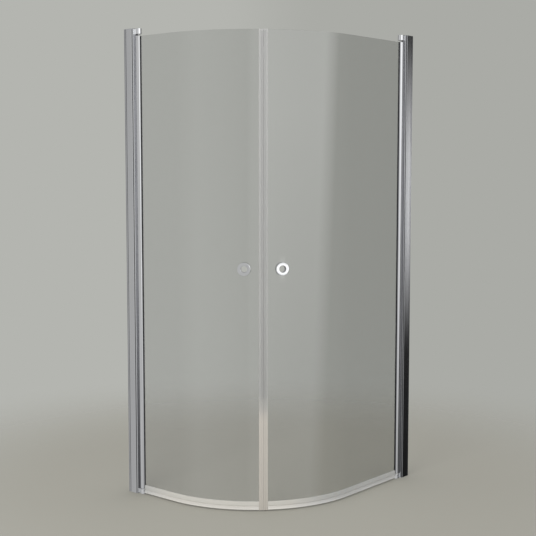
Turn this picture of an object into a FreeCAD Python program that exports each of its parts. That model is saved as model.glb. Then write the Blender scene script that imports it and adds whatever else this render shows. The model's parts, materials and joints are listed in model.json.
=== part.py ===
import FreeCAD, Part
import math
import os

from FreeCAD import Vector

# Offset quadrant shower enclosure for a room corner: two curved glass doors, each hinged on
# its own wall profile and meeting at a magnetic strip.  Millimetres, +Z up.  The left wall is
# the plane at the lowest X and the back wall the plane at the highest Y.  The origin is the
# middle of the footprint, on the floor.
#
# Each side is drawn once in its own plan: s runs out of the wall along the straight glass,
# n runs from the middle of the glass to the outside of the enclosure, and z is height.

# Footprint and height
WIDTH = 800.0                   # left wall to the outer face of the right wall profile
DEPTH = 1000.0                  # back wall to the outer face of the left wall profile
HEIGHT = 2000.0                 # floor to the top of the wall profiles

# Glass doors
GLASS_THICKNESS = 6.0
GLASS_OUTER_RADIUS = 520.0      # outer face of the curved stretch
MEETING_ANGLE = 45.0            # degrees of curve on each door
GLASS_BOTTOM = 24.0
GLASS_TOP_DROP = 32.0           # top of the glass below the top of the enclosure
GLASS_ARRIS = 0.8               # rounding of the two top edges

# Wall profile, a channel screwed to the wall
WALL_PROFILE_WIDTH = 36.0
WALL_PROFILE_DEPTH = 46.0
WALL_PROFILE_WALL = 2.0
PROFILE_ROUNDING = 1.0
WALL_SCREW_RADIUS = 3.0         # hole in the web
WALL_SCREW_END = 100.0          # first and last hole from the ends of the profile
WALL_SCREW_COUNT = 4

# Adjusting profile, which slides in the wall profile
ADJUSTING_BACK = 14.0           # its back edge from the wall
ADJUSTING_REACH = 54.0          # its front face from the wall
ADJUSTING_WALL = 1.8
ADJUSTING_FRONT_WALL = 5.5
ADJUSTING_CLEARANCE = 0.2
SEAL_GROOVE_WIDTH = 5.0
SEAL_GROOVE_DEPTH = 3.5

# Screws through the inner flange that lock the two profiles, with snap-on covers
LOCK_SCREW_RADIUS = 2.0
LOCK_SCREW_LENGTH = 8.0
LOCK_HEAD_RADIUS = 3.8
LOCK_HEAD_HEIGHT = 2.2
LOCK_SCREW_SETBACK = 16.0       # from the open edge of the wall profile
LOCK_SCREW_END = 150.0          # first and last screw from the ends of the profile
LOCK_SCREW_COUNT = 3
COVER_RADIUS = 6.5
COVER_HEIGHT = 4.5
COVER_WALL = 1.0

# Top cap
CAP_THICKNESS = 1.5
CAP_PLUG_DEPTH = 12.0

# Hinge line, pivot blocks, pins and bushes
HINGE_FROM_WALL = 71.0
DOOR_TUBE_RADIUS = 12.5
DOOR_TUBE_WALL = 2.0
BLOCK_RADIUS = 12.3
TOP_BLOCK_HEIGHT = 24.0
BOTTOM_BLOCK_HEIGHT = 21.0
BLOCK_NECK_WIDTH = 12.0
BLOCK_TONGUE_LENGTH = 30.0      # how far the tongue reaches back into the adjusting profile
BLOCK_TONGUE_EXTRA = 16.0       # how much taller the tongue is than the block
BLOCK_ROUNDING = 1.2
BLOCK_SCREW_RADIUS = 1.5
BLOCK_SCREW_LENGTH = 10.0
BLOCK_SCREW_HEAD_RADIUS = 2.8
BLOCK_SCREW_HEAD_HEIGHT = 1.4
BLOCK_SCREW_SETBACK = 18.0      # from the open edge of the wall profile
PIN_RADIUS = 3.0
PIN_IN_BLOCK = 15.0
PIN_IN_DOOR = 24.0
BUSH_LENGTH = 30.0
WASHER_RADIUS = 9.0
RUNNING_GAP = 0.3
PIN_CLEARANCE = 0.05
FIT_CLEARANCE = 0.1

# Glazing channel of the door profile, and its gasket
GASKET_THICKNESS = 1.5
CHANNEL_LIP = 1.3
CHANNEL_FLOOR = 78.0            # bottom of the glazing channel from the wall
CHANNEL_WEB = 2.0
CHANNEL_EDGE = 84.0             # edge of the lips from the wall
GASKET_PROUD = 1.0              # dark band beyond the lips
GASKET_FLARE = 0.6              # how much that band is thicker than the slot, each side

# Hinge seal on the adjusting profile
HINGE_SEAL_WIDTH = 18.0
HINGE_SEAL_BEND = 1.2           # how far its lips follow the round door profile

# Magnetic strips on the meeting edges
STRIP_WIDTH = 18.0
STRIP_BOTTOM = 3.0
MEETING_GAP = 0.3
MAGNET_CHAMBER = 7.0
MAGNET_CHAMBER_THICKNESS = 12.0
STRIP_WALL = 1.2
MAGNET_WIDTH = 4.0
MAGNET_THICKNESS = 8.0
MAGNET_END = 8.0                # magnet bar short of the strip, each end
GLASS_EDGE_GAP = 0.2

# Bottom seals
SEAL_BOTTOM = 6.0
SEAL_LEG_TOP = 39.0
SEAL_LEG = 1.2
SEAL_WEB = 2.5
BLADE_THICKNESS = 1.6
INNER_BLADE_RAISE = 2.0
SEAL_END_GAP = 0.2

# Ring handles
HANDLE_RADIUS = 27.5
HANDLE_BORE = 13.5              # radius of the finger hole
HANDLE_PROUD = 7.0
HANDLE_ROUNDING = 3.0
HANDLE_SLEEVE = 3.5
HANDLE_HEIGHT = 1006.0
HANDLE_FROM_MEETING = 78.0
HANDLE_WASHER_INSET = 2.5
HANDLE_WASHER = 1.0
HANDLE_COLLAR = 1.4
SLEEVE_SHORT = 0.5

# Worked out from the sizes above
GLASS_HALF = GLASS_THICKNESS / 2
GLASS_MID_RADIUS = GLASS_OUTER_RADIUS - GLASS_HALF
GLASS_TOP = HEIGHT - GLASS_TOP_DROP
PROFILE_HALF = WALL_PROFILE_WIDTH / 2
PROFILE_PROUD = PROFILE_HALF - GLASS_HALF
ADJUSTING_HALF = PROFILE_HALF - WALL_PROFILE_WALL - ADJUSTING_CLEARANCE
PROFILE_TOP = HEIGHT - CAP_THICKNESS
SLOT_HALF = GLASS_HALF + GASKET_THICKNESS
LIP_HALF = SLOT_HALF + CHANNEL_LIP
GASKET_EDGE = CHANNEL_EDGE + GASKET_PROUD
GASKET_HALF = SLOT_HALF + GASKET_FLARE
GLASS_START = CHANNEL_FLOOR + GASKET_THICKNESS
ADJUSTING_INNER = ADJUSTING_REACH - ADJUSTING_FRONT_WALL
TOP_BLOCK_BOTTOM = HEIGHT - TOP_BLOCK_HEIGHT
STRIP_GAP = MEETING_GAP / 2
SEAL_HALF = GLASS_HALF + SEAL_LEG
HANDLE_HOLE = HANDLE_BORE + HANDLE_SLEEVE + HANDLE_COLLAR + FIT_CLEARANCE
LOCK_SCREW_S = WALL_PROFILE_DEPTH - LOCK_SCREW_SETBACK
BLOCK_SCREW_S = WALL_PROFILE_DEPTH - BLOCK_SCREW_SETBACK
SAME_PLACE = 0.01               # two corners nearer than this are the same corner
UP = Vector(0, 0, 1)
OUTWARD = Vector(0, 1, 0)
FROM_WALL = Vector(1, 0, 0)


def box(s0, s1, n0, n1, z0, z1):
    """A box between two distances from the wall, two across the profile and two heights."""
    return Part.makeBox(s1 - s0, n1 - n0, z1 - z0, Vector(s0, n0, z0))


def hinge_rod(radius, z0, z1):
    """A cylinder on the hinge line."""
    return Part.makeCylinder(radius, z1 - z0, Vector(HINGE_FROM_WALL, 0, z0), UP)


def cross_rod(radius, s, z, n0, n1):
    """A cylinder across the profile."""
    return Part.makeCylinder(radius, n1 - n0, Vector(s, n0, z), OUTWARD)


def round_corners(shape, radius, s_values, half_width):
    """Round the vertical edges at the given distances from the wall, on both faces."""
    edges = []
    for edge in shape.Edges:
        first, last = edge.Vertexes[0].Point, edge.Vertexes[-1].Point
        upright = math.hypot(first.x - last.x, first.y - last.y) < SAME_PLACE
        at_corner = any(abs(first.x - s) < SAME_PLACE for s in s_values)
        if upright and at_corner and abs(abs(first.y) - half_width) < SAME_PLACE:
            edges.append(edge)
    return shape.makeFillet(radius, edges)


class Plan:
    """The glass line of one door: straight from the wall, then a quadrant to the meeting line."""

    def __init__(self, straight):
        self.straight = straight
        self.centre = Vector(straight, -GLASS_MID_RADIUS, 0)

    def angle(self, from_meeting):
        """Angle along the curve at a distance before the meeting line, in radians."""
        return math.radians(MEETING_ANGLE) - from_meeting / GLASS_MID_RADIUS

    def outward(self, angle):
        return Vector(math.sin(angle), math.cos(angle), 0)

    def point(self, angle, n, z=0.0):
        return self.centre + self.outward(angle) * (GLASS_MID_RADIUS + n) + UP * z

    def arc(self, angle0, angle1, n, z):
        angles = (angle0, (angle0 + angle1) / 2, angle1)
        return Part.Arc(*[self.point(angle, n, z) for angle in angles]).toShape()

    def band(self, s_start, n_in, n_out, from_meeting, z0, z1):
        """An upright sheet along the whole glass line, from s_start to near the meeting line."""
        end = self.angle(from_meeting)
        start_in, start_out = Vector(s_start, n_in, z0), Vector(s_start, n_out, z0)
        edges = [
            Part.makeLine(start_in, start_out),
            Part.makeLine(start_out, self.point(0, n_out, z0)),
            self.arc(0, end, n_out, z0),
            Part.makeLine(self.point(end, n_out, z0), self.point(end, n_in, z0)),
            self.arc(end, 0, n_in, z0),
            Part.makeLine(self.point(0, n_in, z0), start_in),
        ]
        return Part.Face(Part.Wire(edges)).extrude(UP * (z1 - z0))

    def sector(self, n_in, n_out, far, near, z0, z1):
        """An upright sheet between two distances before the meeting line."""
        first, last = self.angle(far), self.angle(near)
        edges = [
            Part.makeLine(self.point(first, n_in, z0), self.point(first, n_out, z0)),
            self.arc(first, last, n_out, z0),
            Part.makeLine(self.point(last, n_out, z0), self.point(last, n_in, z0)),
            self.arc(last, first, n_in, z0),
        ]
        return Part.Face(Part.Wire(edges)).extrude(UP * (z1 - z0))

    def turned(self, outline, n):
        """A ring turned about the handle's axis; outline is (radius, height) corners and arcs."""
        angle = self.angle(HANDLE_FROM_MEETING)
        solid = Part.Face(Part.Wire(outline)).revolve(Vector(0, 0, 0), UP, 360)
        turn = FreeCAD.Rotation(UP, self.outward(angle))
        solid.Placement = FreeCAD.Placement(self.point(angle, n, HANDLE_HEIGHT), turn)
        return solid

    def handle_tube(self, inner, outer, n0, n1):
        """A plain tube on the handle's axis."""
        angle = self.angle(HANDLE_FROM_MEETING)
        base, along = self.point(angle, n0, HANDLE_HEIGHT), self.outward(angle)
        tube = Part.makeCylinder(outer, n1 - n0, base, along)
        return tube.cut(Part.makeCylinder(inner, n1 - n0, base, along)) if inner else tube

    def drum(self, radius):
        """A drum about the curve's centre, as high as the handle."""
        base = Vector(self.centre.x, self.centre.y, HANDLE_HEIGHT - HANDLE_RADIUS)
        return Part.makeCylinder(radius, 2 * HANDLE_RADIUS, base, UP)


def wall_profile():
    web_and_flanges = box(0, WALL_PROFILE_DEPTH, -PROFILE_HALF, PROFILE_HALF, 0, PROFILE_TOP)
    web_and_flanges = round_corners(web_and_flanges, PROFILE_ROUNDING, [WALL_PROFILE_DEPTH], PROFILE_HALF)
    inside = PROFILE_HALF - WALL_PROFILE_WALL
    profile = web_and_flanges.cut(
        box(WALL_PROFILE_WALL, WALL_PROFILE_DEPTH, -inside, inside, 0, PROFILE_TOP))
    for z in spread_heights(WALL_SCREW_END, WALL_SCREW_COUNT):
        hole = Part.makeCylinder(WALL_SCREW_RADIUS, WALL_PROFILE_WALL, Vector(0, 0, z), FROM_WALL)
        profile = profile.cut(hole)
    for z in lock_screw_heights():
        hole = cross_rod(LOCK_SCREW_RADIUS + FIT_CLEARANCE, LOCK_SCREW_S, z, -PROFILE_HALF, -inside)
        profile = profile.cut(hole)
    for z in block_screw_heights():
        hole = cross_rod(BLOCK_SCREW_RADIUS + FIT_CLEARANCE, BLOCK_SCREW_S, z, -PROFILE_HALF, -inside)
        profile = profile.cut(hole)
    return profile


def spread_heights(end, count):
    """Heights spread evenly along a side, the first and last a distance from its ends."""
    step = (HEIGHT - 2 * end) / (count - 1)
    return [end + index * step for index in range(count)]


def lock_screw_heights():
    return spread_heights(LOCK_SCREW_END, LOCK_SCREW_COUNT)


def block_screw_heights():
    return [BOTTOM_BLOCK_HEIGHT / 2, TOP_BLOCK_BOTTOM + TOP_BLOCK_HEIGHT / 2]


def adjusting_profile():
    outer = box(ADJUSTING_BACK, ADJUSTING_REACH, -ADJUSTING_HALF, ADJUSTING_HALF, 0, PROFILE_TOP)
    outer = round_corners(outer, PROFILE_ROUNDING, [ADJUSTING_REACH], ADJUSTING_HALF)
    hollow = ADJUSTING_HALF - ADJUSTING_WALL
    profile = outer.cut(
        box(ADJUSTING_BACK + ADJUSTING_WALL, ADJUSTING_INNER, -hollow, hollow, 0, PROFILE_TOP))
    groove = SEAL_GROOVE_WIDTH / 2
    profile = profile.cut(
        box(ADJUSTING_REACH - SEAL_GROOVE_DEPTH, ADJUSTING_REACH, -groove, groove, 0, PROFILE_TOP))
    notch = BLOCK_NECK_WIDTH / 2 + FIT_CLEARANCE
    for z0, z1 in ((0, BOTTOM_BLOCK_HEIGHT + FIT_CLEARANCE), (TOP_BLOCK_BOTTOM - FIT_CLEARANCE, PROFILE_TOP)):
        profile = profile.cut(box(ADJUSTING_INNER, ADJUSTING_REACH, -notch, notch, z0, z1))
    for z in lock_screw_heights():
        hole = cross_rod(LOCK_SCREW_RADIUS + PIN_CLEARANCE, LOCK_SCREW_S, z, -ADJUSTING_HALF, -hollow)
        profile = profile.cut(hole)
    for z in block_screw_heights():
        hole = cross_rod(BLOCK_SCREW_RADIUS + PIN_CLEARANCE, BLOCK_SCREW_S, z, -ADJUSTING_HALF, -hollow)
        profile = profile.cut(hole)
    return profile


def screws(s, heights, face, radius, length, head_radius, head_height):
    """Screws driven outwards into the face that the inside of the enclosure shows."""
    made = []
    for z in heights:
        head = cross_rod(head_radius, s, z, face - head_height, face)
        shank = cross_rod(radius, s, z, face, face + length)
        made.append(head.fuse(shank).removeSplitter())
    return Part.makeCompound(made)


def lock_screws():
    return screws(LOCK_SCREW_S, lock_screw_heights(), -PROFILE_HALF, LOCK_SCREW_RADIUS,
                  LOCK_SCREW_LENGTH, LOCK_HEAD_RADIUS, LOCK_HEAD_HEIGHT)


def block_screws():
    return screws(BLOCK_SCREW_S, block_screw_heights(), -PROFILE_HALF, BLOCK_SCREW_RADIUS,
                  BLOCK_SCREW_LENGTH, BLOCK_SCREW_HEAD_RADIUS, BLOCK_SCREW_HEAD_HEIGHT)


def screw_covers():
    made = []
    for z in lock_screw_heights():
        cup = cross_rod(COVER_RADIUS, LOCK_SCREW_S, z, -PROFILE_HALF - COVER_HEIGHT, -PROFILE_HALF)
        rim = [edge for edge in cup.Edges if edge.BoundBox.YMax < -PROFILE_HALF - COVER_HEIGHT / 2]
        cup = cup.makeFillet(COVER_WALL, rim)
        hollow = cross_rod(COVER_RADIUS - COVER_WALL, LOCK_SCREW_S, z,
                           -PROFILE_HALF - COVER_HEIGHT + COVER_WALL, -PROFILE_HALF)
        made.append(cup.cut(hollow))
    return Part.makeCompound(made)


def top_cap():
    over_wall_profile = box(0, WALL_PROFILE_DEPTH, -PROFILE_HALF, PROFILE_HALF, PROFILE_TOP, HEIGHT)
    over_adjusting = box(0, ADJUSTING_REACH, -ADJUSTING_HALF, ADJUSTING_HALF, PROFILE_TOP, HEIGHT)
    inside = PROFILE_HALF - WALL_PROFILE_WALL - FIT_CLEARANCE
    plug = box(WALL_PROFILE_WALL + FIT_CLEARANCE, ADJUSTING_BACK - FIT_CLEARANCE,
               -inside, inside, PROFILE_TOP - CAP_PLUG_DEPTH, HEIGHT)
    return over_wall_profile.fuse([over_adjusting, plug]).removeSplitter()


def pivot_block(z0, z1, tongue0, tongue1, pin0, pin1):
    """A round block on the hinge line, with a tongue that plugs into the adjusting profile."""
    barrel = hinge_rod(BLOCK_RADIUS, z0, z1)
    ends = [edge for edge in barrel.Edges if edge.Closed]
    barrel = barrel.makeFillet(BLOCK_ROUNDING, ends)
    neck_half = BLOCK_NECK_WIDTH / 2
    neck_top = min(z1, PROFILE_TOP)
    neck = box(ADJUSTING_INNER - FIT_CLEARANCE - ADJUSTING_WALL, HINGE_FROM_WALL,
               -neck_half, neck_half, z0, neck_top)
    tongue_half = ADJUSTING_HALF - ADJUSTING_WALL - FIT_CLEARANCE
    tongue_front = ADJUSTING_INNER - FIT_CLEARANCE
    tongue = box(tongue_front - BLOCK_TONGUE_LENGTH, tongue_front, -tongue_half, tongue_half,
                 tongue0, tongue1)
    block = barrel.fuse([neck, tongue]).removeSplitter()
    block = block.cut(hinge_rod(PIN_RADIUS, pin0, pin1))
    for z in block_screw_heights():
        if z0 < z < z1:
            hole = cross_rod(BLOCK_SCREW_RADIUS + PIN_CLEARANCE, BLOCK_SCREW_S, z, -tongue_half,
                             BLOCK_SCREW_LENGTH - PROFILE_HALF + FIT_CLEARANCE)
            block = block.cut(hole)
    return block


def top_pivot_block():
    return pivot_block(TOP_BLOCK_BOTTOM, HEIGHT, TOP_BLOCK_BOTTOM - BLOCK_TONGUE_EXTRA, PROFILE_TOP,
                       TOP_BLOCK_BOTTOM, TOP_BLOCK_BOTTOM + PIN_IN_BLOCK)


def bottom_pivot_block():
    return pivot_block(0, BOTTOM_BLOCK_HEIGHT, 0, BOTTOM_BLOCK_HEIGHT + BLOCK_TONGUE_EXTRA,
                       BOTTOM_BLOCK_HEIGHT - PIN_IN_BLOCK, BOTTOM_BLOCK_HEIGHT)


def top_pivot_pin():
    return hinge_rod(PIN_RADIUS, GLASS_TOP - PIN_IN_DOOR, TOP_BLOCK_BOTTOM + PIN_IN_BLOCK)


def bottom_pivot_pin():
    return hinge_rod(PIN_RADIUS, BOTTOM_BLOCK_HEIGHT - PIN_IN_BLOCK, GLASS_BOTTOM + PIN_IN_DOOR)


def thrust_washer():
    top = GLASS_BOTTOM - RUNNING_GAP
    ring = hinge_rod(WASHER_RADIUS, BOTTOM_BLOCK_HEIGHT, top)
    return ring.cut(hinge_rod(PIN_RADIUS + PIN_CLEARANCE, BOTTOM_BLOCK_HEIGHT, top))


def hinge_seal():
    foot_half = SEAL_GROOVE_WIDTH / 2 - FIT_CLEARANCE
    z0 = BOTTOM_BLOCK_HEIGHT + 2 * FIT_CLEARANCE
    z1 = TOP_BLOCK_BOTTOM - 2 * FIT_CLEARANCE
    groove_floor = ADJUSTING_REACH - SEAL_GROOVE_DEPTH
    foot = box(groove_floor + FIT_CLEARANCE, ADJUSTING_REACH, -foot_half, foot_half, z0, z1)
    tube_face = HINGE_FROM_WALL - DOOR_TUBE_RADIUS
    half = HINGE_SEAL_WIDTH / 2
    head = box(ADJUSTING_REACH, tube_face + HINGE_SEAL_BEND, -half, half, z0, z1)
    running_space = hinge_rod(DOOR_TUBE_RADIUS + RUNNING_GAP, z0, z1)
    return foot.fuse(head).removeSplitter().cut(running_space)


def tube_hollow(z0, z1, clearance):
    """The round hollow of the door profile, closed off by the web of the glazing channel."""
    radius = DOOR_TUBE_RADIUS - DOOR_TUBE_WALL - clearance
    web = CHANNEL_FLOOR - CHANNEL_WEB - clearance
    beyond_web = box(web, web + DOOR_TUBE_RADIUS, -DOOR_TUBE_RADIUS, DOOR_TUBE_RADIUS, z0, z1)
    return hinge_rod(radius, z0, z1).cut(beyond_web)


def door_profile():
    tube = hinge_rod(DOOR_TUBE_RADIUS, GLASS_BOTTOM, GLASS_TOP)
    lips = box(HINGE_FROM_WALL, CHANNEL_EDGE, -LIP_HALF, LIP_HALF, GLASS_BOTTOM, GLASS_TOP)
    slot = box(CHANNEL_FLOOR, CHANNEL_EDGE, -SLOT_HALF, SLOT_HALF, GLASS_BOTTOM, GLASS_TOP)
    section = tube.fuse(lips).removeSplitter()
    return section.cut(tube_hollow(GLASS_BOTTOM, GLASS_TOP, 0)).cut(slot)


def bush(z0, z1):
    """A plastic plug in the end of the door profile, bored for the pivot pin."""
    return tube_hollow(z0, z1, 0).cut(hinge_rod(PIN_RADIUS + PIN_CLEARANCE, z0, z1))


def top_bush():
    return bush(GLASS_TOP - BUSH_LENGTH, GLASS_TOP)


def bottom_bush():
    return bush(GLASS_BOTTOM, GLASS_BOTTOM + BUSH_LENGTH)


def glazing_gasket():
    in_slot = box(CHANNEL_FLOOR, CHANNEL_EDGE, -SLOT_HALF, SLOT_HALF, GLASS_BOTTOM, GLASS_TOP)
    flare = box(CHANNEL_EDGE, GASKET_EDGE, -GASKET_HALF, GASKET_HALF, GLASS_BOTTOM, GLASS_TOP)
    glass = box(GLASS_START, GASKET_EDGE, -GLASS_HALF, GLASS_HALF, GLASS_BOTTOM, GLASS_TOP)
    return in_slot.fuse(flare).removeSplitter().cut(glass)


def glass_edge():
    """Distance of the glass's free edge from the meeting line."""
    return STRIP_GAP + MAGNET_CHAMBER + GLASS_EDGE_GAP


def glass_panel(plan):
    pane = plan.band(GLASS_START, -GLASS_HALF, GLASS_HALF, glass_edge(), GLASS_BOTTOM, GLASS_TOP)
    top = [edge for edge in pane.Edges
           if edge.BoundBox.ZMin > GLASS_TOP - GLASS_ARRIS and edge.Length > 2 * GLASS_THICKNESS]
    pane = pane.makeFillet(GLASS_ARRIS, top)
    return pane.cut(plan.handle_tube(0, HANDLE_HOLE, -GLASS_THICKNESS, GLASS_THICKNESS))


def magnetic_strip(plan):
    half = MAGNET_CHAMBER_THICKNESS / 2
    far = STRIP_GAP + MAGNET_CHAMBER
    chamber = plan.sector(-half, half, far, STRIP_GAP, STRIP_BOTTOM, GLASS_TOP)
    hollow = plan.sector(STRIP_WALL - half, half - STRIP_WALL, far - STRIP_WALL, STRIP_GAP + STRIP_WALL,
                         STRIP_BOTTOM, GLASS_TOP)
    outside = plan.sector(GLASS_HALF, GLASS_HALF + STRIP_WALL, STRIP_WIDTH, far, STRIP_BOTTOM, GLASS_TOP)
    inside = plan.sector(-GLASS_HALF - STRIP_WALL, -GLASS_HALF, STRIP_WIDTH, far, STRIP_BOTTOM, GLASS_TOP)
    return chamber.fuse([outside, inside]).removeSplitter().cut(hollow)


def magnet_bar(plan):
    half = MAGNET_THICKNESS / 2
    near = STRIP_GAP + STRIP_WALL + FIT_CLEARANCE
    return plan.sector(-half, half, near + MAGNET_WIDTH, near,
                       STRIP_BOTTOM + MAGNET_END, GLASS_TOP - MAGNET_END)


def bottom_seal(plan):
    start = GASKET_EDGE + SEAL_END_GAP
    end = STRIP_WIDTH + SEAL_END_GAP
    web_bottom = GLASS_BOTTOM - SEAL_WEB
    outer_leg = plan.band(start, GLASS_HALF, SEAL_HALF, end, web_bottom, SEAL_LEG_TOP)
    inner_leg = plan.band(start, -SEAL_HALF, -GLASS_HALF, end, web_bottom, SEAL_LEG_TOP)
    web = plan.band(start, -SEAL_HALF, SEAL_HALF, end, web_bottom, GLASS_BOTTOM)
    outer_blade = plan.band(start, SEAL_HALF - BLADE_THICKNESS, SEAL_HALF, end, SEAL_BOTTOM, web_bottom)
    inner_blade = plan.band(start, -GLASS_HALF, BLADE_THICKNESS - GLASS_HALF, end,
                            SEAL_BOTTOM + INNER_BLADE_RAISE, web_bottom)
    return web.fuse([outer_leg, inner_leg, outer_blade, inner_blade]).removeSplitter()


def handle_sag():
    """How far the curved glass falls away from flat, from the handle's middle to its rim."""
    inner = GLASS_OUTER_RADIUS - GLASS_THICKNESS
    return inner - math.sqrt(inner ** 2 - HANDLE_RADIUS ** 2)


def outer_ring_back():
    return GLASS_HALF + HANDLE_WASHER


def inner_ring_back():
    return -GLASS_HALF - handle_sag() - HANDLE_WASHER


def corner(centre_r, centre_h, from_degrees, to_degrees):
    """A rounded corner of a turned outline."""
    points = []
    for degrees in (from_degrees, (from_degrees + to_degrees) / 2, to_degrees):
        angle = math.radians(degrees)
        points.append(Vector(centre_r + HANDLE_ROUNDING * math.cos(angle), 0,
                             centre_h + HANDLE_ROUNDING * math.sin(angle)))
    return Part.Arc(*points).toShape()


def line(r0, h0, r1, h1):
    return Part.makeLine(Vector(r0, 0, h0), Vector(r1, 0, h1))


def handle_outer_ring(plan):
    shoulder = HANDLE_PROUD - HANDLE_ROUNDING
    sleeve = HANDLE_BORE + HANDLE_SLEEVE
    sleeve_end = inner_ring_back() - HANDLE_PROUD + SLEEVE_SHORT - outer_ring_back()
    outline = [
        line(HANDLE_BORE, sleeve_end, HANDLE_BORE, shoulder),
        corner(HANDLE_BORE + HANDLE_ROUNDING, shoulder, 180, 90),
        line(HANDLE_BORE + HANDLE_ROUNDING, HANDLE_PROUD, HANDLE_RADIUS - HANDLE_ROUNDING, HANDLE_PROUD),
        corner(HANDLE_RADIUS - HANDLE_ROUNDING, shoulder, 90, 0),
        line(HANDLE_RADIUS, shoulder, HANDLE_RADIUS, 0),
        line(HANDLE_RADIUS, 0, sleeve, 0),
        line(sleeve, 0, sleeve, sleeve_end),
        line(sleeve, sleeve_end, HANDLE_BORE, sleeve_end),
    ]
    return plan.turned(outline, outer_ring_back())


def handle_inner_ring(plan):
    shoulder = HANDLE_ROUNDING - HANDLE_PROUD
    bore = HANDLE_BORE + HANDLE_SLEEVE + PIN_CLEARANCE
    outline = [
        line(bore, 0, HANDLE_RADIUS, 0),
        line(HANDLE_RADIUS, 0, HANDLE_RADIUS, shoulder),
        corner(HANDLE_RADIUS - HANDLE_ROUNDING, shoulder, 0, -90),
        line(HANDLE_RADIUS - HANDLE_ROUNDING, -HANDLE_PROUD, bore, -HANDLE_PROUD),
        line(bore, -HANDLE_PROUD, bore, 0),
    ]
    return plan.turned(outline, inner_ring_back())


def handle_outer_washer(plan):
    """A soft washer that follows the curve of the glass, with a collar through the hole."""
    inner = HANDLE_BORE + HANDLE_SLEEVE + PIN_CLEARANCE
    face = plan.handle_tube(inner, HANDLE_RADIUS - HANDLE_WASHER_INSET, 0, outer_ring_back())
    collar = plan.handle_tube(inner, HANDLE_HOLE - FIT_CLEARANCE, -GLASS_HALF, outer_ring_back())
    return face.cut(plan.drum(GLASS_OUTER_RADIUS)).fuse(collar).removeSplitter()


def handle_inner_washer(plan):
    inner = HANDLE_BORE + HANDLE_SLEEVE + PIN_CLEARANCE
    face = plan.handle_tube(inner, HANDLE_RADIUS - HANDLE_WASHER_INSET, inner_ring_back(), -GLASS_HALF)
    return face.common(plan.drum(GLASS_OUTER_RADIUS - GLASS_THICKNESS))


def side_pieces(plan):
    """Every piece of one side, in its own plan."""
    return {
        "wall_profile": wall_profile(),
        "profile_cap": top_cap(),
        "adjusting_profile": adjusting_profile(),
        "adjusting_screws": lock_screws(),
        "screw_covers": screw_covers(),
        "hinge_seal": hinge_seal(),
        "top_pivot_block": top_pivot_block(),
        "bottom_pivot_block": bottom_pivot_block(),
        "pivot_block_screws": block_screws(),
        "top_pivot_pin": top_pivot_pin(),
        "bottom_pivot_pin": bottom_pivot_pin(),
        "thrust_washer": thrust_washer(),
        "door_profile": door_profile(),
        "top_bush": top_bush(),
        "bottom_bush": bottom_bush(),
        "glazing_gasket": glazing_gasket(),
        "glass_panel": glass_panel(plan),
        "magnetic_strip": magnetic_strip(plan),
        "magnet_bar": magnet_bar(plan),
        "bottom_seal": bottom_seal(plan),
        "handle_outer_ring": handle_outer_ring(plan),
        "handle_inner_ring": handle_inner_ring(plan),
        "handle_outer_washer": handle_outer_washer(plan),
        "handle_inner_washer": handle_inner_washer(plan),
    }


def on_left_wall(shape):
    """s becomes +X and n becomes -Y."""
    placed = shape.mirror(Vector(0, 0, 0), OUTWARD)
    placed.translate(Vector(-WIDTH / 2, PROFILE_HALF - DEPTH / 2, 0))
    return placed


def on_back_wall(shape):
    """s becomes -Y and n becomes +X."""
    placed = shape.copy()
    placed.rotate(Vector(0, 0, 0), UP, -90)
    placed.translate(Vector(WIDTH / 2 - PROFILE_HALF, DEPTH / 2, 0))
    return placed


SIDES = {
    "left": (WIDTH - PROFILE_PROUD - GLASS_OUTER_RADIUS, on_left_wall),
    "right": (DEPTH - PROFILE_PROUD - GLASS_OUTER_RADIUS, on_back_wall),
}

os.makedirs("parts", exist_ok=True)
for side, (straight, place) in SIDES.items():
    for piece, shape in side_pieces(Plan(straight)).items():
        placed = place(shape)
        placed.exportStep(f"parts/{side}_{piece}.step")
        print(f"{side}_{piece}: {len(placed.Solids)} solids, {placed.Volume:.0f} mm3, {placed.isValid()}")
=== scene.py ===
import json
import math

import bmesh
import bpy
from mathutils import Matrix, Vector


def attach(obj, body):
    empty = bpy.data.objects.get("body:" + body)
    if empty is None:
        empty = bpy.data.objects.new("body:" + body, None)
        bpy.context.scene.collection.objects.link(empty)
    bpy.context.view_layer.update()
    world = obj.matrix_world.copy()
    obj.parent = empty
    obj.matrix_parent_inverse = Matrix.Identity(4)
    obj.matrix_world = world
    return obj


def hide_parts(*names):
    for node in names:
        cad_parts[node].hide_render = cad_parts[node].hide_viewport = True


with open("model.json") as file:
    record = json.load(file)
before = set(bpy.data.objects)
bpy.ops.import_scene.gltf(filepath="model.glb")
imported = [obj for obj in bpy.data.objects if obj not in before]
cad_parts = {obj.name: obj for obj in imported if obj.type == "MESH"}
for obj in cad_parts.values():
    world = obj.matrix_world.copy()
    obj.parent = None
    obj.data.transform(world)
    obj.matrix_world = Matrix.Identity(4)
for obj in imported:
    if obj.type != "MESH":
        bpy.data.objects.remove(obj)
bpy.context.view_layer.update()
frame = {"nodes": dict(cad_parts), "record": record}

MM = 0.001

# Camera, metres and degrees
CAMERA_PLACE = (3.130, -3.732, 1.424)
CAMERA_HEADING = 40.2           # turned from looking along +Y towards -X
CAMERA_TILT = -5.28
LENS_MM = 74.15
SENSOR_MM = 36.0

# Room
BACKDROP_BRIGHT = "#b4b5b0"     # behind the left door
BACKDROP_DIM = "#aaaba6"        # behind the right door
BACKDROP_BESIDE = 40.2          # heading of the middle of the dimmer half, in degrees from +X
BACKDROP_BLEND = 0.05           # half width of the soft step between the two
FLOOR = "#a6a49a"
FLOOR_RADIUS = 6.0
FLOOR_FADE = (0.9, 2.6)         # metres from the middle over which the floor joins the backdrop

# Soft lamp in front, metres and watts
LAMP_PLACE = (1.0, -3.5, 3.6)
LAMP_AIM = (0.0, 0.0, 0.8)
LAMP_SIZE = 2.0
LAMP_POWER = 60.0

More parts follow.
